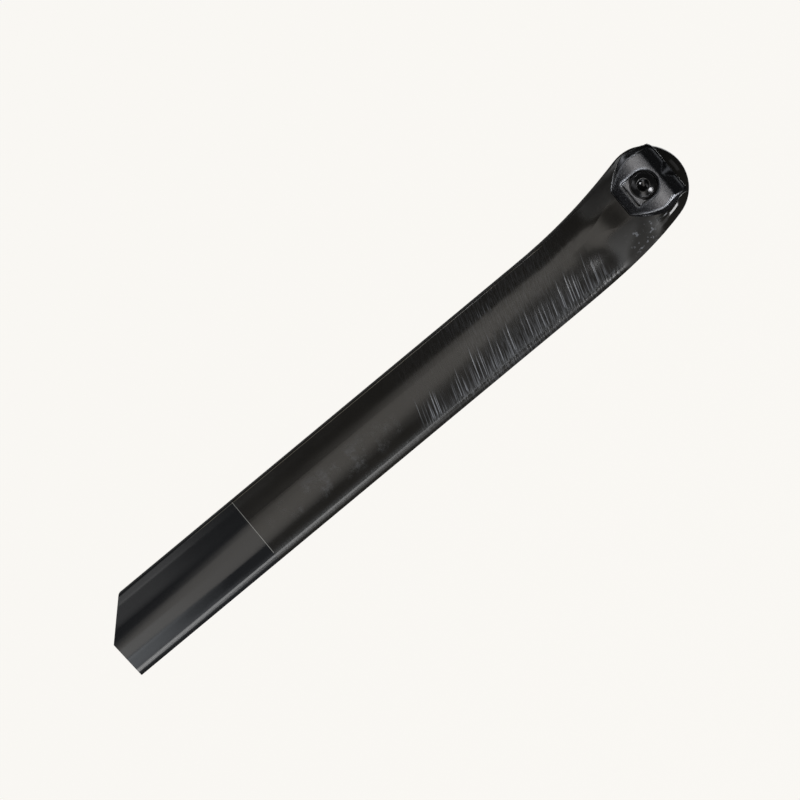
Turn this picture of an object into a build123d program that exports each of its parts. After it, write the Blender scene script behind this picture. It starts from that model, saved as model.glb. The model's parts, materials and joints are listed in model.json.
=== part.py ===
from build123d import *
import os
from math import atan, atan2, cos, degrees, hypot, radians, sin, sqrt, tan

# A D-section seatpost. X points forward, Z runs up the shaft, and the origin is on the
# shaft's axis at the tail end. All sizes are in millimetres and degrees.

# Shaft: rounded leading edge, gently bowed sides, flat back with tight corners
overall_length = 380.0
shaft_depth = 39.8
shaft_width = 22.0
shaft_wall = 2.2
side_flat = 1.0
nose_flat = 2.0
back_corner_length = 14.0
back_flat = 13.0

# Tail end: the back is cut away at 45 degrees, the front is nearly square
tail_cut = 18.9
tail_slope = 3.0
tail_corner_radius = 3.0

# Head: a round end that leans back and broadens to carry the clamp
head_radius = 21.6
head_setback = 7.0
head_lean = 13.0
head_width = 28.4
head_edge_length = 8.0
head_edge_flat = 6.0
flare_length = 40.0

# Sweep from the straight shaft to the head, by its two edges in side view
sweep_length = 74.4
sweep_run_in = 36.0
run_in_levels = 4
sweep_levels = 8

# Cross bore and the flat lands around it, behind and below the middle of the head
pivot_setback = 2.2
pivot_drop = 1.0
land_width = 4.0
land_height = 0.3
bore_chamfer = 0.5
solid_below_bore = 56.0

# Saddle rails
rail_diameter = 7.0
rail_spacing = 44.0

# Clamp bolt with a low domed head and a hexagon socket, its washer and its nut
bolt_diameter = 8.0
bolt_head_diameter = 13.0
bolt_head_height = 5.0
bolt_dome_radius = 20.0
bolt_head_chamfer = 0.5
bolt_tip_chamfer = 0.8
bolt_tip_stand = 0.4
socket_size = 6.0
socket_depth = 4.6
socket_mouth_diameter = 7.4
washer_diameter = 14.2
washer_thickness = 1.2
nut_thickness = 5.0

# Outer clamp: a shield with a bevelled border and a U-shaped pocket
shield_width = 36.8
shield_waist = 1.0
shield_lean = 7.0
shield_front_corner = 2.6
shield_back_corner = 6.0
shield_foot = 15.2
foot_width = 15.6
foot_corner = 2.5
flank_bow = 1.3
waist_round = 9.0
bevel_width = 2.8
side_wall = 5.0
floor_wall = 3.6
toe_wall = 5.7
crest_wall = 3.5
crest_drop = 6.6
crest_round = 2.0
face_bow = 1.5
top_edge_wall = 3.5
top_lip = 1.3
pocket_sill = 1.2
pocket_corner = 1.2
pocket_chamfer = 0.8
rim_chamfer = 0.8
rail_web = 0.5
scoop_length = 6.2
scoop_spread = 41.0
scoop_dig = 15.0
scoop_lift = 0.3
scoop_shift = 1.8

# Inner clamp: a flanged cradle with a boss that turns in the cross bore
boss_wall = 3.7
boss_end_gap = 1.0
boss_chamfer = 0.6
inner_inset = 0.6
flange_step = 3.3
jaw_lip = 1.1
toe_pad_length = 5.0
toe_pad_height = 0.3

# Clearances
bolt_clearance = 0.3
thread_clearance = 0.05
bore_clearance = 0.05
washer_clearance = 0.5
nut_clearance = 0.15
jaw_gap = 0.3

# Places that follow from the sizes above
nose_length = shaft_depth - side_flat - back_corner_length
head_x = -head_setback
head_z = overall_length - head_radius
sweep_start = head_z - sweep_length
pivot_x = head_x - pivot_setback
pivot_z = head_z - pivot_drop
rail_radius = rail_diameter / 2
rail_out = rail_spacing / 2
bolt_radius = bolt_diameter / 2
hole_radius = bolt_radius + bolt_clearance
boss_radius = hole_radius + boss_wall
bore_radius = boss_radius + bore_clearance
land_radius = bore_radius + land_width
land_out = head_width / 2 + land_height
pocket_radius = washer_diameter / 2 + washer_clearance
pocket_foot = pocket_radius + pocket_sill
rail_up = pocket_radius + rail_web + rail_radius
shield_top = rail_up + rail_radius + top_lip
flange_out = rail_out - flange_step
clamp_back = flange_out + toe_pad_height
bevel_out = clamp_back + side_wall
pocket_out = clamp_back + floor_wall
crest_out = rail_out + rail_radius + crest_wall
crest_up = shield_top - crest_drop
jaw_foot = rail_up - rail_radius - jaw_lip
bolt_seat = pocket_out + washer_thickness
bolt_tip = pocket_out + nut_thickness + bolt_tip_stand
bevel_fall = crest_out - rail_out - top_edge_wall

# How far a cutting shape runs past the clamp: right across it, or just past a face
clear_span = 2 * shield_width
cut_margin = 1.0

shaft_form = (shaft_width, nose_length, nose_flat, back_corner_length, back_flat)
head_form = (head_width, head_edge_length, head_edge_flat, head_edge_length, head_edge_flat)
hollow_width = shaft_width - 2 * shaft_wall
hollow_form = (
    hollow_width,
    nose_length - shaft_wall,
    nose_flat,
    back_corner_length - shaft_wall,
    back_flat,
)


# Radii of the two tangent arcs that turn a corner of the section, at its end and at its side
def corner_radii(length, side):
    whole = length ** 2 + side ** 2
    slant = (length - side) * hypot(length, side)
    return (whole - slant) / (2 * length), (whole + slant) / (2 * side)


# Cross-section of the post, nose towards +X
def section(depth, form):
    width, nose, nose_face, back, back_face = form
    arcs = []
    for turn, (fore, left) in enumerate([(1, 1), (-1, 1), (-1, -1), (1, -1)]):
        length, face = (nose, nose_face) if fore > 0 else (back, back_face)
        side = (width - face) / 2
        end_radius, side_radius = corner_radii(length, side)
        bend = degrees(atan2(abs(side_radius - side), abs(length - end_radius)))
        end_x = fore * (depth / 2 - end_radius)
        side_x = fore * (depth / 2 - length)
        side_y = left * (width / 2 - side_radius)
        end_start, side_start = (0, bend) if turn % 2 == 0 else (90 - bend, 0)
        end_arc = CenterArc((end_x, left * face / 2), end_radius, 90 * turn + end_start, bend)
        side_arc = CenterArc((side_x, side_y), side_radius, 90 * turn + side_start, 90 - bend)
        arcs.append((end_arc, side_arc) if turn % 2 == 0 else (side_arc, end_arc))
    edges = []
    for here, after in zip(arcs, arcs[1:] + arcs[:1]):
        edges += [*here, Line(here[1] @ 1, after[0] @ 0)]
    return Face(Wire(edges))


# Point on an edge that leaves upright and arrives along the head's lean
def edge_point(share, start, finish):
    shift = finish[0] - start[0]
    rise = finish[1] - start[1]
    drift = -rise * tan(radians(head_lean))
    bend = (3 * shift - drift) * share ** 2 + (drift - 2 * shift) * share ** 3
    return start[0] + bend, start[1] + rise * share


# Section of the sweep at a share of the way from the straight shaft to the head
def sweep_section(share):
    lean = radians(head_lean)
    reach_x = head_radius * cos(lean)
    reach_z = head_radius * sin(lean)
    back = edge_point(share, (-shaft_depth / 2, sweep_start), (head_x - reach_x, head_z - reach_z))
    front = edge_point(share, (shaft_depth / 2, sweep_start), (head_x + reach_x, head_z + reach_z))
    along = Vector(front[0] - back[0], 0, front[1] - back[1])
    middle = Vector((front[0] + back[0]) / 2, 0, (front[1] + back[1]) / 2)
    risen = min(max((middle.Z - head_z) / flare_length + 1, 0), 1)
    blend = risen ** 2 * (3 - 2 * risen)
    form = tuple(a + blend * (b - a) for a, b in zip(shaft_form, head_form))
    plane = Plane(origin=middle, x_dir=along, z_dir=(-along.Z, 0, along.X))
    return plane * section(along.length, form)


# Straight shaft and sweep, as one body up to the middle of the head
def shaft_body():
    plain = section(shaft_depth, shaft_form)
    bottom = sweep_start - sweep_run_in
    straight = extrude(plain, bottom)
    pitch = sweep_run_in / run_in_levels
    levels = [Pos(0, 0, bottom + pitch * level) * plain for level in range(run_in_levels)]
    levels += [sweep_section(level / sweep_levels) for level in range(sweep_levels + 1)]
    return straight + loft(levels)


# Rounded end of the head: half of its middle section turned about its own cross axis
def head_cap():
    lean = radians(head_lean)
    middle = (head_x, 0, head_z)
    plane = Plane(origin=middle, x_dir=(cos(lean), 0, sin(lean)), z_dir=(-sin(lean), 0, cos(lean)))
    front_half = Pos(head_radius, 0) * Rectangle(2 * head_radius, 2 * head_width)
    half = section(2 * head_radius, head_form) & front_half
    return revolve(plane * half, Axis(middle, (0, -1, 0)), 180)


# What is cut away below the tail, with a rounded corner where the back edge begins
def tail_waste():
    back = -shaft_depth / 2
    heel = back + tail_cut
    toe_z = (shaft_depth / 2 - heel) * tan(radians(tail_slope))
    margin = shaft_depth
    kept = Polyline(
        (back, 2 * margin),
        (back, tail_cut),
        (heel, 0),
        (shaft_depth / 2, toe_z),
        (shaft_depth / 2, 2 * margin),
        close=True,
    )
    kept = make_face(kept)
    corner = kept.vertices().sort_by(Axis.X)[:2].sort_by(Axis.Y)[0]
    kept = fillet(corner, tail_corner_radius)
    around = Pos(0, margin / 2) * Rectangle(3 * margin, 3 * margin)
    return extrude(Plane.XZ * (around - kept), 2 * shaft_width, both=True)


def cross_cylinder(radius, length):
    return Pos(pivot_x, 0, pivot_z) * Rot(90, 0, 0) * Cylinder(radius, length)


def post():
    solid = shaft_body() + head_cap() + cross_cylinder(land_radius, 2 * land_out)
    hollow_top = pivot_z - bore_radius - solid_below_bore
    hollow = extrude(section(shaft_depth - 2 * shaft_wall, hollow_form), hollow_top)
    solid = solid - hollow - cross_cylinder(bore_radius, 2 * head_width) - tail_waste()
    circles = solid.edges().filter_by(GeomType.CIRCLE)
    rims = circles.filter_by(lambda edge: abs(edge.radius - bore_radius) < bore_clearance / 2)
    return chamfer(rims, bore_chamfer)


# The clamp's pieces are drawn with X forward, Y up from the bolt axis and Z outward
# from the middle of the post, and then set on the right-hand side.

# The corners of a face that lie where the given points do
def nearest(face, points):
    return [face.vertices().sort_by_distance(point)[0] for point in points]


# Shield outline: sides that lean in to a straight top, and bowed flanks down to a flat foot
def shield(inset=0.0):
    top = shield_top - inset
    waist = (shield_width / 2 - inset, shield_waist)
    shoulder = (waist[0] - (top - shield_waist) * tan(radians(shield_lean)), top)
    foot = (foot_width / 2 - inset / 2, inset - shield_foot)
    flank = Vector(foot[0] - waist[0], foot[1] - waist[1])
    bowed = Vector((waist[0] + foot[0]) / 2, (waist[1] + foot[1]) / 2)
    bowed = bowed + Vector(-flank.Y, flank.X).normalized() * flank_bow
    edges = [Line(shoulder, (-shoulder[0], top)), Line((-foot[0], foot[1]), foot)]
    for way in (1, -1):
        edges.append(Line((way * shoulder[0], top), (way * waist[0], waist[1])))
        edges.append(
            ThreePointArc((way * waist[0], waist[1]), (way * bowed.X, bowed.Y), (way * foot[0], foot[1]))
        )
    face = make_face(edges)
    top_corners, waist_corners, foot_corners = reversed(face.vertices().group_by(Axis.Y))
    back_corner, front_corner = top_corners.sort_by(Axis.X)
    face = fillet(back_corner, shield_back_corner)
    face = fillet(nearest(face, [front_corner]), shield_front_corner)
    face = fillet(nearest(face, waist_corners), waist_round - inset)
    return fillet(nearest(face, foot_corners), foot_corner)


# A profile drawn as (up, outward), run right across the clamp
def across(profile):
    return extrude(Plane.YZ * profile, clear_span, both=True)


def rail():
    return across(Pos(rail_up, rail_out) * Circle(rail_radius))


# U-shaped pocket: round above, square below
def pocket(inset=0.0):
    width = 2 * (pocket_radius - inset)
    foot = pocket_foot - inset
    square = Pos(0, -foot / 2) * Rectangle(width, foot)
    square = fillet(square.vertices().group_by(Axis.Y)[0], pocket_corner)
    return square + Circle(pocket_radius - inset)


# Scoop near the middle of the top edge: a cone whose tip lies on the bevel and whose
# lower side dives under it, so that its outline is a V with a rounded tip
def scoop():
    dig = radians(scoop_dig)
    tilt = atan((cos(dig) - cos(radians(scoop_spread))) / sin(dig))
    slope = atan(bevel_fall / crest_drop)
    tip_up = shield_top - scoop_length
    tip_out = rail_out + top_edge_wall + scoop_length * tan(slope) + scoop_lift
    height = 2 * scoop_length
    cone = Cone(0, height * tan(tilt + dig), height, align=(Align.CENTER, Align.CENTER, Align.MIN))
    along = (0, cos(tilt - slope), sin(tilt - slope))
    return Plane(origin=(scoop_shift, tip_up, tip_out), z_dir=along) * cone


def outer_clamp():
    rise = crest_out + cut_margin - bevel_out
    inset = bevel_width * rise / (crest_out - bevel_out)
    block = extrude(Pos(0, 0, clamp_back) * shield(), side_wall)
    crown = loft([Pos(0, 0, bevel_out) * shield(), Pos(0, 0, bevel_out + rise) * shield(inset)], ruled=True)
    blank = block + crown
    blank = chamfer(blank.edges().group_by(Axis.Z)[2], rim_chamfer)
    crest = (crest_up, crest_out)
    toe = (-shield_foot, clamp_back + toe_wall)
    middle = ((crest[0] + toe[0]) / 2, (crest[1] + toe[1]) / 2 + face_bow)
    past_top = (shield_top + cut_margin, rail_out + top_edge_wall - bevel_fall * cut_margin / crest_drop)
    split = rail_out + jaw_gap
    step = jaw_foot - jaw_gap
    below = -shield_foot - cut_margin
    face = ThreePointArc(crest, middle, toe)
    rest = Polyline(
        toe,
        (below, toe[1]),
        (below, clamp_back),
        (step, clamp_back),
        (step, split),
        (past_top[0], split),
        past_top,
        crest,
    )
    profile = make_face([face, rest])
    profile = fillet(profile.vertices().sort_by_distance(crest)[0], crest_round)
    body = (blank & across(profile)) - rail() - scoop() - extrude(Circle(hole_radius), clear_span)
    rim = Pos(0, 0, crest_out - pocket_chamfer) * pocket()
    rim_top = Pos(0, 0, crest_out + pocket_chamfer) * pocket(-2 * pocket_chamfer)
    return body - extrude(Pos(0, 0, pocket_out) * pocket(), clear_span) - loft([rim, rim_top], ruled=True)


def inner_clamp():
    split = rail_out - jaw_gap
    below = -shield_foot - toe_pad_length
    pad_top = inner_inset - shield_foot + toe_pad_length
    profile = make_face(
        Polyline(
            (below, land_out),
            (below, clamp_back),
            (pad_top, clamp_back),
            (pad_top, flange_out),
            (jaw_foot, flange_out),
            (jaw_foot, split),
            (shield_top, split),
            (shield_top, land_out),
            close=True,
        )
    )
    body = extrude(Pos(0, 0, land_out) * shield(inner_inset), split - land_out) & across(profile)
    boss = extrude(Pos(0, 0, boss_end_gap) * Circle(boss_radius), land_out - boss_end_gap)
    boss = chamfer(boss.edges().group_by(Axis.Z)[0], boss_chamfer)
    return body + boss - rail() - extrude(Circle(hole_radius), clear_span)


# How far the domed top of the bolt head lies below its middle
def dome_drop(radius):
    return bolt_dome_radius - sqrt(bolt_dome_radius ** 2 - radius ** 2)


def clamp_bolt():
    rim = bolt_head_diameter / 2
    top = bolt_seat + bolt_head_height
    edge = rim - bolt_head_chamfer
    dome = ThreePointArc(
        (edge, top - dome_drop(edge)), (edge / 2, top - dome_drop(edge / 2)), (0, top)
    )
    sides = Polyline(
        (0, top),
        (0, bolt_seat),
        (rim, bolt_seat),
        (rim, top - dome_drop(edge) - bolt_head_chamfer),
        (edge, top - dome_drop(edge)),
    )
    head = revolve(Plane.XZ * make_face([dome, sides]), Axis.Z)
    shank = extrude(Pos(0, 0, -bolt_tip) * Circle(bolt_radius), bolt_tip + bolt_seat)
    shank = chamfer(shank.edges().group_by(Axis.Z)[0], bolt_tip_chamfer)
    hexagon = RegularPolygon(socket_size / 2, 6, major_radius=False)
    socket = extrude(Pos(0, 0, top - socket_depth) * hexagon, socket_depth)
    mouth = socket_mouth_diameter / 2
    mouth_depth = mouth - socket_size / 2
    mouth_cone = Pos(0, 0, top - mouth_depth / 2) * Cone(socket_size / 2, mouth, mouth_depth)
    return head + shank - socket - mouth_cone


def bolt_washer():
    ring = Circle(washer_diameter / 2) - Circle(hole_radius)
    return extrude(Pos(0, 0, pocket_out) * ring, washer_thickness)


def clamp_nut():
    plate = extrude(Pos(0, 0, pocket_out) * pocket(nut_clearance), nut_thickness)
    return plate - extrude(Circle(bolt_radius + thread_clearance), clear_span)


right_side = Plane(origin=(pivot_x, 0, pivot_z), x_dir=(1, 0, 0), z_dir=(0, -1, 0))


def on_right(piece):
    return right_side * piece


def on_left(piece):
    return mirror(right_side * piece, about=Plane.XZ)


pieces = {
    "post": post(),
    "inner_clamp_right": on_right(inner_clamp()),
    "inner_clamp_left": on_left(inner_clamp()),
    "outer_clamp_right": on_right(outer_clamp()),
    "outer_clamp_left": on_left(outer_clamp()),
    "clamp_bolt": on_right(clamp_bolt()),
    "bolt_washer": on_right(bolt_washer()),
    "clamp_nut": on_left(clamp_nut()),
}

os.makedirs("parts", exist_ok=True)
for name, piece in pieces.items():
    export_step(piece, f"parts/{name}.step")
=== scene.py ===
import json
from math import cos, pi, radians, sin

import bpy
from mathutils import Matrix, Vector

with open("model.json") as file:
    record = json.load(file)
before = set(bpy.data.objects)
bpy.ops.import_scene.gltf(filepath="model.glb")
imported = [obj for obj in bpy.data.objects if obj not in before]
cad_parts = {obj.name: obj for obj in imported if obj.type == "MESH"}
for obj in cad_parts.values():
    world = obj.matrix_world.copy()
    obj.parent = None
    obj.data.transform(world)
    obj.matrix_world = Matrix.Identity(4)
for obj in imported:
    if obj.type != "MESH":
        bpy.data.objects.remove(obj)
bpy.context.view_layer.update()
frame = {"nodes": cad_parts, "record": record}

nodes = frame["nodes"]
scene = bpy.context.scene
scene.view_settings.view_transform = "Standard"
bpy.ops.object.select_all(action="DESELECT")
print("loaded", len(nodes), "CAD nodes")


class Value:                              # a socket that can be added, multiplied and compared
    def __init__(self, paint, socket):
        self.paint = paint
        self.socket = socket

    def __add__(self, other):
        return self.paint.math("ADD", self, other)

    def __radd__(self, other):
        return self.paint.math("ADD", other, self)

    def __sub__(self, other):
        return self.paint.math("SUBTRACT", self, other)

    def __rsub__(self, other):
        return self.paint.math("SUBTRACT", other, self)

    def __mul__(self, other):
        return self.paint.math("MULTIPLY", self, other)

    def __rmul__(self, other):
        return self.paint.math("MULTIPLY", other, self)

    def __truediv__(self, other):
        return self.paint.math("DIVIDE", self, other)

    def __gt__(self, other):
        return self.paint.math("GREATER_THAN", self, other)

    def __lt__(self, other):
        return self.paint.math("LESS_THAN", self, other)

    def __abs__(self):
        return self.paint.math("ABSOLUTE", self)

    def out(self, name):                  # another output of the same node
        return Value(self.paint, self.socket.node.outputs[name])


class Paint:                              # builds one node tree
    def __init__(self, tree):
        self.tree = tree
        tree.nodes.clear()

    def node(self, kind, settings, sockets, output=0):
        made = self.tree.nodes.new(kind)
        for name, setting in settings.items():
            setattr(made, name, setting)
        for key, value in sockets.items():
            if isinstance(value, Value):
                self.tree.links.new(value.socket, made.inputs[key])
            else:
                made.inputs[key].default_value = value
        return Value(self, made.outputs[output]) if made.outputs else made

    def math(self, operation, *values):
        return self.node("ShaderNodeMath", {"operation": operation}, dict(enumerate(values)))

    def smooth(self, value, low, high):   # 0 below low, 1 above high
        sockets = {"Value": value, "From Min": low, "From Max": high}
        return self.node("ShaderNodeMapRange", {"interpolation_type": "SMOOTHSTEP"}, sockets)

    def band(self, value, low, high, soft):
        rise = self.smooth(value, low - soft, low + soft)
        return rise * (1 - self.smooth(value, high - soft, high + soft))

    def either(self, *masks):             # the strongest of several masks
        strongest = masks[0]
        for mask in masks[1:]:
            strongest = self.math("MAXIMUM", strongest, mask)
        return strongest

    def point(self, *axes):
        return self.node("ShaderNodeCombineXYZ", {}, dict(enumerate(axes)))

    def noise(self, vector, scale, detail, rough):
        sockets = {"Vector": vector, "Scale": scale, "Detail": detail, "Roughness": rough}
        return self.node("ShaderNodeTexNoise", {}, sockets)

    def patches(self, vector, scale, detail, rough, low, high):
        return self.smooth(self.noise(vector, scale, detail, rough), low, high)

    def chance(self, number):             # three random numbers for each whole number
        colour = self.node("ShaderNodeTexWhiteNoise", {"noise_dimensions": "1D"}, {"W": number}, "Color")
        parts = self.node("ShaderNodeSeparateColor", {}, {"Color": colour})
        return parts, parts.out("Green"), parts.out("Blue")

    def tint(self, share, low, high):     # from one colour to another
        return self.node("ShaderNodeMix", {"data_type": "RGBA"}, {0: share, 6: low, 7: high}, 2)

    def millimetres(self):
        place = self.node("ShaderNodeTexCoord", {}, {}, "Object")
        return self.node("ShaderNodeVectorMath", {"operation": "SCALE"}, {0: place, "Scale": 1000.0})

    def split(self, vector):
        parts = self.node("ShaderNodeSeparateXYZ", {}, {0: vector})
        return parts, parts.out("Y"), parts.out("Z")


def newMaterial(name):
    material = bpy.data.materials.new(name)
    material.use_nodes = True
    return material, Paint(material.node_tree)


def finishSurface(paint, sockets):
    shader = paint.node("ShaderNodeBsdfPrincipled", {}, sockets)
    paint.node("ShaderNodeOutputMaterial", {}, {"Surface": shader})


def roundedNormal(paint, radius):         # the normal as if every edge were rounded
    return paint.node("ShaderNodeBevel", {"samples": 8}, {"Radius": radius})


edgeTurn = (0.015, 0.12)                  # how far the normal turns where an edge is painted worn and highlighted


def edgeWearAndHighlight(paint, radius):              # 1 where two faces meet at an angle
    plain = paint.node("ShaderNodeNewGeometry", {}, {}, "Normal")
    sockets = {0: roundedNormal(paint, radius), 1: plain}
    same = paint.node("ShaderNodeVectorMath", {"operation": "DOT_PRODUCT"}, sockets, "Value")
    return paint.smooth(1 - same, *edgeTurn)


carbon = {                                # millimetres: across from the axis, heights from the tail
    "black": (0.0085, 0.0081, 0.0074, 1.0),
    "worn": (0.0125, 0.0115, 0.0102, 1.0),
    # clean finish, tinted cool partly as a painted reflection
    "tail": (0.0100, 0.0106, 0.0118, 1.0),
    "raw": (0.026, 0.026, 0.027, 1.0),
    "scratch": (0.147, 0.155, 0.173, 1.0),
    # a painted highlight along the back corner
    "cornerHighlight": (0.105, 0.094, 0.072, 1.0),
    "mark": (0.17, 0.17, 0.165, 1.0),
    "rough": 0.13,
    "mottle": (1.0, 4.0, 0.6),            # noise: scale, detail, roughness
    "mottleStretch": (0.10, 0.10, 0.035),
    "hollowTop": 310,
    "sawnTop": 30,
    "cleanHeights": (91.9, 93.9),         # two numbers: from none to all
    "lineHeights": (92.74, 93.06, 0.06),  # three numbers: low, high, softness
    "lineAcross": (-18.7, 14.8, 0.3),
    "cornerHighlightAcross": (-18.35, -18.10, 0.10),
    "cornerHighlightHeights": (66.0, 296.0, 5.0),
    "cornerHighlightWhole": (93.0, 218.0, 6.0),      # hardly broken between these
    "cornerHighlightBreaks": (0.045, 3.0, 0.6, 0.40, 0.62),   # noise, then from none to all
    "scratchTurn": 18.5,                  # scratches fall this much towards the front
    "scratchHeights": (196.0, 314.0, 5.0),
    "scratchCrowds": (0.07, 2.0, 0.5, 0.36, 0.52),
    "scratchHalf": (0.08, 0.32),          # half a scratch's width, solid and faded
    "scratchFade": 9.0,                   # how long a scratch takes to reach its full depth
    "scratchSets": (                      # pitch, seed, back end, front end, strength
        (3.7, 0, -6.0, 16.5, 1.0),
        (2.6, 300, -4.0, 17.0, 1.0),
        (1.7, 500, 2.0, 17.5, 0.8),
    ),
    "rearSet": (1.5, 700, -17.5, -8.0, 0.7),
    "rearHeights": (243.0, 258.0, 2.0),
    "upperHeights": (180.0, 225.0),       # the leading edge goes from smooth to scuffed
    "streak": (1.0, 4.0, 0.65),
    "streakStretch": (0.16, 1.6, 0.1),    # along the scratches, across them, and over the width
    "hairCut": (0.48, 0.70),
    # the hairs lie where the leading edge's highlight runs, and their light colour paints that highlight
    # wider
    "hairAcross": (14.6, 18.4, 1.2),
    "hairHeights": (96.0, 322.0, 8.0),
    "brushCut": (0.38, 0.72),
    "brushAcross": (2.0, 13.0),
    "brushHeights": (196.0, 314.0, 10.0),
    "brushMost": (232.0, 296.0, 10.0),
    "rubbedAcross": (13.5, 17.0),
    "polishedAcross": (9.5, 13.5, 1.5),
    "polishedHeights": (56.0, 70.0),
    "smears": (0.14, 5.0, 0.68, 0.48, 0.70),
    "smearAcross": (-3.0, 10.0, 3.0),
    "smearHeights": (106.0, 180.0, 14.0),
    "chips": (0.50, 3.0, 0.62, 0.585, 0.65),
    "chipAcross": (6.0, 17.0, 2.0),
    "chipHeights": (334.0, 350.0, 4.0),
    "neckHeights": (326.0, 349.0, 6.0),   # rubbed dull below the clamp
    "neckGlossy": (-13.0, 0.0, 2.0),      # apart from here
    "neckDull": (7.0, 13.0),              # and dullest in front
    "neckDullFrom": 334,
    "neckDullSlant": 0.6,                 # reaches further back the higher it gets
    "headHeights": (349.0, 358.0),
    "bump": 0.15,
}


def scratchLines(paint, c, side, x, across, scratchSet):
    pitch, seed, first, last, strength = scratchSet
    cell = paint.math("FLOOR", across / pitch)
    shift, length, depth = paint.chance(cell + side * 61 + seed)   # the two sides differ
    middle = (cell + 0.2 + 0.6 * shift) * pitch
    line = 1 - paint.smooth(abs(across - middle), *c["scratchHalf"])
    begin = first + (last - first) * 0.7 * length   # the shortest have a third of the full length
    end = last - 3.0 * depth
    run = paint.smooth(x - begin, 0.0, c["scratchFade"]) * (1 - paint.smooth(x - end, -1.0, 1.0))
    return strength * line * run * (0.20 + 0.80 * depth)


def carbonFinish(c):
    material, paint = newMaterial("wornCarbon")
    spot = paint.millimetres()
    x, y, z = paint.split(spot)
    side = y > 0
    turn = radians(c["scratchTurn"])
    along = x * cos(turn) - z * sin(turn)
    across = x * sin(turn) + z * cos(turn)

    # the part that stands in the frame is clean, the part above it is worn; the clean part's cool tint is
    # partly a painted reflection
    above = paint.smooth(z, *c["cleanHeights"])
    below = 1 - above
    head = paint.smooth(z, *c["headHeights"])
    neck = paint.band(z, *c["neckHeights"])
    glossy = paint.band(x, *c["neckGlossy"])
    dull = paint.smooth(x + c["neckDullSlant"] * (z - c["neckDullFrom"]), *c["neckDull"])

    # inside the hollow and on the sawn tail the carbon is bare
    nx, ny, nz = paint.split(paint.node("ShaderNodeTexCoord", {}, {}, "Normal"))
    inside = (x * nx + y * ny < 0) * (z < c["hollowTop"])
    sawn = (nz < -0.5) * (z < c["sawnTop"])
    bare = paint.either(inside, sawn)

    # the thin line of least insertion, and a painted highlight along the back corner
    line = paint.band(z, *c["lineHeights"]) * paint.band(x, *c["lineAcross"])
    broken = paint.patches(paint.point(0, 0, z), *c["cornerHighlightBreaks"])
    broken = paint.either(broken, 0.8 * paint.band(z, *c["cornerHighlightWhole"]))
    cornerHighlight = paint.band(x, *c["cornerHighlightAcross"]) * paint.band(z, *c["cornerHighlightHeights"]) * broken

    # long scratches that the frame's clamp has left, thicker in some places than others
    crowd = paint.patches(paint.point(0, 0, across), *c["scratchCrowds"])
    scratched = paint.band(z, *c["scratchHeights"]) * (0.25 + 0.75 * crowd)
    long = [scratchLines(paint, c, side, x, across, scratchSet) for scratchSet in c["scratchSets"]]
    rear = scratchLines(paint, c, side, x, across, c["rearSet"]) * paint.band(z, *c["rearHeights"])
    scratches = paint.either(paint.either(*long) * scratched, rear)

    # the leading edge has hairs, lightened also as a painted highlight, and brushed streaks high up, and is
    # rubbed low down beside a polished strip
    alongScale, acrossScale, widthScale = c["streakStretch"]
    stretched = paint.point(along * alongScale, across * acrossScale, y * widthScale)
    streak = paint.noise(stretched, *c["streak"])
    upper = paint.smooth(z, *c["upperHeights"])
    hairsAndSheen = paint.smooth(streak, *c["hairCut"]) * paint.band(x, *c["hairAcross"])
    hairsAndSheen = hairsAndSheen * paint.band(z, *c["hairHeights"]) * (0.2 + 0.8 * crowd) * (0.4 + 0.6 * upper)
    brushed = paint.smooth(streak, *c["brushCut"]) * paint.band(z, *c["brushHeights"])
    brushed = brushed * (0.5 + 0.5 * paint.smooth(x, *c["brushAcross"]))
    brushed = brushed * (0.4 + 0.75 * paint.band(z, *c["brushMost"]))
    rubbed = paint.smooth(x, *c["rubbedAcross"]) * (1 - upper)
    polished = paint.band(x, *c["polishedAcross"]) * paint.smooth(z, *c["polishedHeights"]) * (1 - upper)

    # smears low on the worn part, and chips below the clamp
    smear = paint.patches(spot, *c["smears"])
    smear = smear * paint.band(x, *c["smearAcross"]) * paint.band(z, *c["smearHeights"])
    chips = paint.patches(spot, *c["chips"])
    chips = chips * paint.band(x, *c["chipAcross"]) * paint.band(z, *c["chipHeights"])

    xScale, yScale, zScale = c["mottleStretch"]
    mottle = paint.noise(paint.point(x * xScale, y * yScale, z * zScale), *c["mottle"])
    wear = paint.either(scratches, 0.30 * hairsAndSheen, 0.24 * brushed, 0.17 * smear, 0.6 * chips)
    colour = paint.tint(mottle * above * (1 - head), c["black"], c["worn"])
    colour = paint.tint(below, colour, c["tail"])
    colour = paint.tint(cornerHighlight, colour, c["cornerHighlight"])
    colour = paint.tint(wear, colour, c["scratch"])
    colour = paint.tint(line, colour, c["mark"])
    colour = paint.tint(bare, colour, c["raw"])
    rough = c["rough"] + 0.06 * mottle - 0.06 * below - 0.05 * head
    rough = rough + neck * (0.36 - 0.43 * glossy + 0.38 * dull)
    rough = rough + 0.2 * paint.either(scratches, 0.4 * hairsAndSheen, 0.3 * smear, chips)
    rough = rough + 0.4 * bare + 0.10 * rubbed - 0.05 * polished
    height = paint.either(scratches, hairsAndSheen, chips)
    sockets = {"Strength": c["bump"], "Distance": 0.0001, "Height": height}
    bump = paint.node("ShaderNodeBump", {"invert": True}, sockets)
    finishSurface(paint, {"Base Color": colour, "Roughness": rough, "Normal": bump})
    return material


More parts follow.
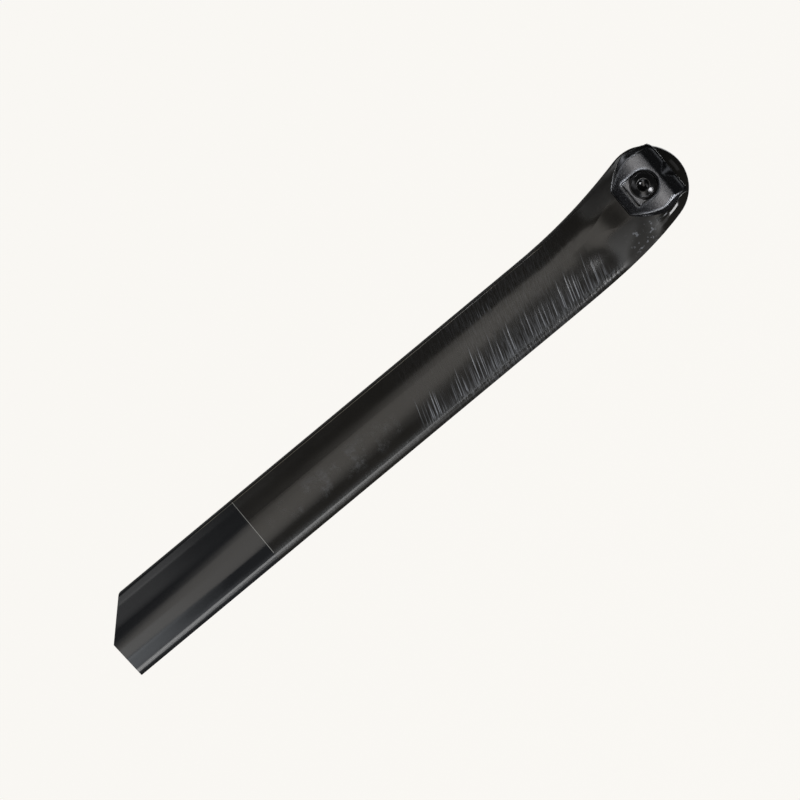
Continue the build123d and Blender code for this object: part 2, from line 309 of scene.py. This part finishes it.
anodised = {
    "colour": (0.205, 0.212, 0.232, 1.0),
    # light edges: edge wear and a painted highlight along the rims
    "wornEdgeAndHighlight": (0.210, 0.210, 0.205, 1.0),
    # painted shade in the pocket round the washer
    "pocketShade": (0.012, 0.012, 0.012, 1.0),
    "rough": 0.24,
    "grain": (1.3, 3.0, 0.65),            # blasted grains to the millimetre, detail, roughness
    "patch": (0.25, 3.0, 0.6),
    "patchCut": (0.40, 0.60),
    "edge": 0.0009,                       # metres, as is round
    "round": 0.0020,
    "bump": 0.35,
    "axis": (-9.2, 357.4),                # the bolt's axis, forward and up
    "pocketShadeRing": (6.7, 7.7, 0.1),         # along the pocket's round wall: low, high, softness
    "pocketShadeAbove": (-5.5, -4.0),           # not where the pocket is straight
    "pocketShadeDepth": (21.6, 27.6, 0.3),
}


def anodisedFinish(c):
    material, paint = newMaterial("blackAnodised")
    spot = paint.millimetres()
    x, y, z = paint.split(spot)
    grain = paint.noise(spot, *c["grain"])
    patch = paint.noise(spot, *c["patch"])
    # the edges are painted light, as wear and as a painted highlight along the rims
    worn = edgeWearAndHighlight(paint, c["edge"]) * (0.35 + 0.65 * paint.smooth(patch, *c["patchCut"]))

    # painted shade round the washer, up the pocket's wall, where the wall shades the floor
    fore = x - c["axis"][0]
    up = z - c["axis"][1]
    reach = paint.math("SQRT", fore * fore + up * up)
    ring = paint.band(reach, *c["pocketShadeRing"]) * paint.smooth(up, *c["pocketShadeAbove"])
    pocketShade = ring * paint.band(abs(y), *c["pocketShadeDepth"])

    colour = paint.tint(worn, c["colour"], c["wornEdgeAndHighlight"])
    colour = paint.tint(pocketShade, colour, c["pocketShade"])
    metal = (1 - 0.8 * worn) * (1 - pocketShade)
    rough = c["rough"] + 0.22 * (grain - 0.5) + 0.06 * (patch - 0.5) + 0.25 * worn + 0.4 * pocketShade
    rounded = roundedNormal(paint, c["round"])
    sockets = {"Strength": c["bump"], "Distance": 0.0001, "Height": grain, "Normal": rounded}
    bump = paint.node("ShaderNodeBump", {}, sockets)
    finishSurface(paint, {"Base Color": colour, "Metallic": metal, "Roughness": rough, "Normal": bump})
    return material


blackSteel = {
    "colour": (0.050, 0.050, 0.052, 1.0),
    # light edges: edge wear and a painted highlight, such as the ring round the socket's mouth
    "wornEdgeAndHighlight": (0.210, 0.210, 0.205, 1.0),
    "rough": 0.14,
    "patch": (0.8, 3.0, 0.6),             # noise: scale, detail, roughness
    "patchCut": (0.40, 0.60),
    "edge": 0.0004,                       # metres
    "axis": (-9.2, 357.4),                # the bolt's axis, forward and up
    "head": 6.55,
    "socket": 3.05,
    "socketFloor": (-24.8, -23.0),        # the floor lies between these
    "drillPoint": 0.065,                  # how steeply the socket's floor is dished
}


def blackSteelFinish(c):
    material, paint = newMaterial("blackSteel")
    spot = paint.millimetres()
    x, y, z = paint.split(spot)
    patch = paint.noise(spot, *c["patch"])
    # the edges are painted light, as wear and as a painted highlight round the socket's mouth
    worn = edgeWearAndHighlight(paint, c["edge"]) * (0.4 + 0.6 * paint.smooth(patch, *c["patchCut"]))
    fore = x - c["axis"][0]
    up = z - c["axis"][1]
    reach = fore * fore + up * up
    floor = (reach < c["socket"] ** 2) * (y > c["socketFloor"][0]) * (y < c["socketFloor"][1])
    dished = c["drillPoint"] * reach * floor
    rounded = roundedNormal(paint, c["edge"])
    sockets = {"Strength": 1.0, "Distance": 0.001, "Height": dished, "Normal": rounded}
    dish = paint.node("ShaderNodeBump", {}, sockets)
    dull = reach > c["head"] ** 2         # the washer is duller than the bolt
    colour = paint.tint(worn * (1 - floor) * (1 - dull), c["colour"], c["wornEdgeAndHighlight"])
    metal = 0.9 - 0.7 * worn - 0.2 * dull
    rough = c["rough"] + 0.08 * (patch - 0.5) + 0.2 * worn + 0.35 * dull
    finishSurface(paint, {"Base Color": colour, "Metallic": metal, "Roughness": rough, "Normal": dish})
    return material


finishes = {
    "carbon": carbonFinish(carbon),
    "anodised": anodisedFinish(anodised),
    "black_steel": blackSteelFinish(blackSteel),
}
for row in frame["record"]["subparts"]:
    mesh = nodes[row["node"]].data
    mesh.materials.clear()
    mesh.materials.append(finishes[row["material_slot"]])
print("dressed", len(nodes), "nodes in", len(finishes), "finishes")


view = {
    "aim": Vector((-0.00399, 0.0, 0.19219)),   # what lies at the middle of the picture
    "roll": 50.32,                        # the shaft runs up to the right
    "distance": 12.0,
    "clip": 20.0,
    "span": 0.40834,                      # width of the picture at the shaft
    "sensor": 36.0,
}
pictureAxes = Matrix.Rotation(radians(90), 3, "X") @ Matrix.Rotation(radians(view["roll"]), 3, "Z")


def addCamera(v):
    data = bpy.data.cameras.new("photoCamera")
    data.sensor_width = v["sensor"]
    data.lens = v["sensor"] * v["distance"] / v["span"]
    data.clip_end = v["clip"]
    camera = bpy.data.objects.new("photoCamera", data)
    scene.collection.objects.link(camera)
    place = v["aim"] + Vector((0, -v["distance"], 0))
    camera.matrix_world = Matrix.Translation(place) @ pictureAxes.to_4x4()
    scene.camera = camera


addCamera(view)


studio = {
    "pale": (0.962, 0.945, 0.911, 1.0),
    "fill": 0.45,                         # how much the pale room lights the object
    "floorBehind": 1.00,                  # how far the floor lies behind the post
    "floorSize": 0.56,
    "shadow": 0.06,                       # share of the floor's colour that a shadow takes away
    "roomSize": 5.0,
    "room": (0.02, 0.02, 0.02, 1.0),
}


def seenDirectly(paint):                  # what the camera, mirrors and glass see
    ray = paint.node("ShaderNodeLightPath", {}, {}, "Is Camera Ray")
    return paint.either(ray, ray.out("Is Glossy Ray"), ray.out("Is Transmission Ray"))


def paleFinish(s):
    material, paint = newMaterial("paleFloor")
    lit = paint.node("ShaderNodeBsdfDiffuse", {}, {"Color": s["pale"]})
    plain = paint.node("ShaderNodeEmission", {}, {"Color": s["pale"], "Strength": 1.0})
    share = seenDirectly(paint) * (1 - s["shadow"])
    front = paint.node("ShaderNodeMixShader", {}, {0: share, 1: lit, 2: plain})
    clear = paint.node("ShaderNodeBsdfTransparent", {}, {})
    back = paint.node("ShaderNodeNewGeometry", {}, {}, "Backfacing")
    surface = paint.node("ShaderNodeMixShader", {}, {0: back, 1: front, 2: clear})
    paint.node("ShaderNodeOutputMaterial", {}, {"Surface": surface})
    return material


def addStage(s):
    world = bpy.data.worlds.new("paleRoom")
    world.use_nodes = True
    scene.world = world
    paint = Paint(world.node_tree)
    strength = s["fill"] + (1 - s["fill"]) * seenDirectly(paint)
    sky = paint.node("ShaderNodeBackground", {}, {"Color": s["pale"], "Strength": strength})
    paint.node("ShaderNodeOutputWorld", {}, {"Surface": sky})

    bpy.ops.mesh.primitive_plane_add(size=s["floorSize"])
    floor = bpy.context.object
    floor.name = "paleFloor"
    floor.data.transform(pictureAxes.to_4x4())
    floor.data.transform(Matrix.Translation(view["aim"] + Vector((0, s["floorBehind"], 0))))
    floor.data.materials.append(paleFinish(s))

    bpy.ops.mesh.primitive_cube_add(size=s["roomSize"])
    room = bpy.context.object             # dark flags, there only for the black finish to mirror
    room.name = "darkFlags"
    room.visible_camera = False
    room.visible_diffuse = False
    room.visible_shadow = False
    room.visible_transmission = False
    material, paint = newMaterial("darkFlags")
    finishSurface(paint, {"Base Color": s["room"], "Roughness": 1.0, "Specular IOR Level": 0.0})
    room.data.materials.append(material)


addStage(studio)
print("set the camera, the floor and the dark flags")

warm = (1.0, 0.95, 0.88)
cool = (0.90, 0.95, 1.0)
coolish = (0.92, 0.96, 1.0)
shaftTurn = -view["roll"]                 # turns a lamp in line with the shaft
windowTurn = 13.0                         # the window slants across the shaft
lamps = {                                 # places as seen in the picture: right, up, towards the camera
    "windowBox": {
        "at": (0.10, -0.17, 1.2), "size": (0.24, 0.90), "level": 0.95, "tint": warm, "turn": windowTurn,
    },
    "windowGlow": {
        "at": (0.10, -0.16, 1.25), "size": (0.30, 0.98), "level": 0.40, "tint": warm, "turn": windowTurn,
    },
    "lowCard": {
        "at": (0.34, -0.926, 1.2), "size": (0.46, 0.30), "level": 2.1, "tint": cool, "turn": shaftTurn,
    },
    "lowGlow": {
        "at": (0.105, -0.623, 1.2), "size": (0.34, 0.30), "level": 0.7, "tint": cool, "turn": shaftTurn,
    },
    "edgeStrip": {"at": (0.157, -0.415, 0.273), "size": (0.15, 0.295), "level": 4.3, "turn": shaftTurn},
    "scuffStrip": {
        "at": (0.668, -0.705, 0.865), "size": (0.27, 0.13), "level": 5.0,
        "tint": coolish, "turn": shaftTurn,
    },
    "tailStrip": {"at": (0.60, -1.11, 0.40), "size": (0.55, 0.18), "level": 5.5, "turn": shaftTurn},
    "edgeGlow": {"at": (0.71, -0.97, 0.10), "size": (0.45, 0.50), "level": 0.5, "turn": shaftTurn},
    "headStrip": {"at": (1.15, -0.68, 0.31), "size": (0.50, 0.45), "level": 12.0, "turn": shaftTurn},
    "glintBox": {"at": (0.61, -0.17, 1.2), "size": (0.20, 0.20), "level": 20.0},
    "topCard": {"at": (0.75, 0.62, 0.05), "size": (0.50, 0.30), "level": 0.25},
    "sideBox": {"at": (-0.42, 0.85, 0.77), "size": (0.15, 0.25), "level": 8.0, "turn": shaftTurn},
    "cornerStrip": {"at": (-0.54, 0.58, 0.76), "size": (0.08, 0.30), "level": 0.8, "turn": shaftTurn},
    "backLow": {"at": (-0.67, 0.38, 1.2), "size": (0.35, 0.25), "level": 1.1, "turn": shaftTurn},
    "backFill": {"at": (-0.43, 0.08, 1.2), "size": (0.46, 0.25), "level": 0.6, "turn": shaftTurn},
    "rearBox": {"at": (0.25, 0.30, -1.2), "size": (0.40, 0.80), "level": 1.2},
    "frontLow": {"at": (-0.15, -1.07, 1.04), "size": (0.18, 0.70), "level": 1.5, "turn": shaftTurn},
    "sideLow": {"at": (-1.08, 0.05, 1.04), "size": (0.18, 0.70), "level": 1.5, "turn": shaftTurn},
    "frontLowBehind": {"at": (-0.15, -1.07, -1.04), "size": (0.22, 0.80), "level": 2.0, "turn": shaftTurn},
    "sideLowBehind": {"at": (-1.08, 0.05, -1.04), "size": (0.22, 0.80), "level": 2.0, "turn": shaftTurn},
    "endCard": {"at": (-0.78, 1.04, 0.0), "size": (0.30, 0.90), "level": 0.5, "turn": shaftTurn},
    "rearStrip": {"at": (-0.70, 0.80, -0.80), "size": (0.80, 0.30), "level": 0.6},
}


def addLamp(name, lamp):
    data = bpy.data.lights.new(name, "AREA")
    data.shape = "RECTANGLE"
    data.size, data.size_y = lamp["size"]
    data.energy = pi * data.size * data.size_y * lamp["level"]   # level is how bright its face looks
    data.color = lamp.get("tint", (1.0, 1.0, 1.0))
    turn = radians(lamp.get("turn", 0.0))
    back = Vector(lamp["at"]).normalized()
    right = Vector((-sin(turn), cos(turn), 0)).cross(back).normalized()
    turned = Matrix((right, back.cross(right), back)).transposed()
    lampObject = bpy.data.objects.new(name, data)
    scene.collection.objects.link(lampObject)
    place = Matrix.Translation(view["aim"] + pictureAxes @ Vector(lamp["at"]))
    lampObject.matrix_world = place @ (pictureAxes @ turned).to_4x4()


for name, lamp in lamps.items():
    addLamp(name, lamp)
print("set", len(lamps), "lamps")
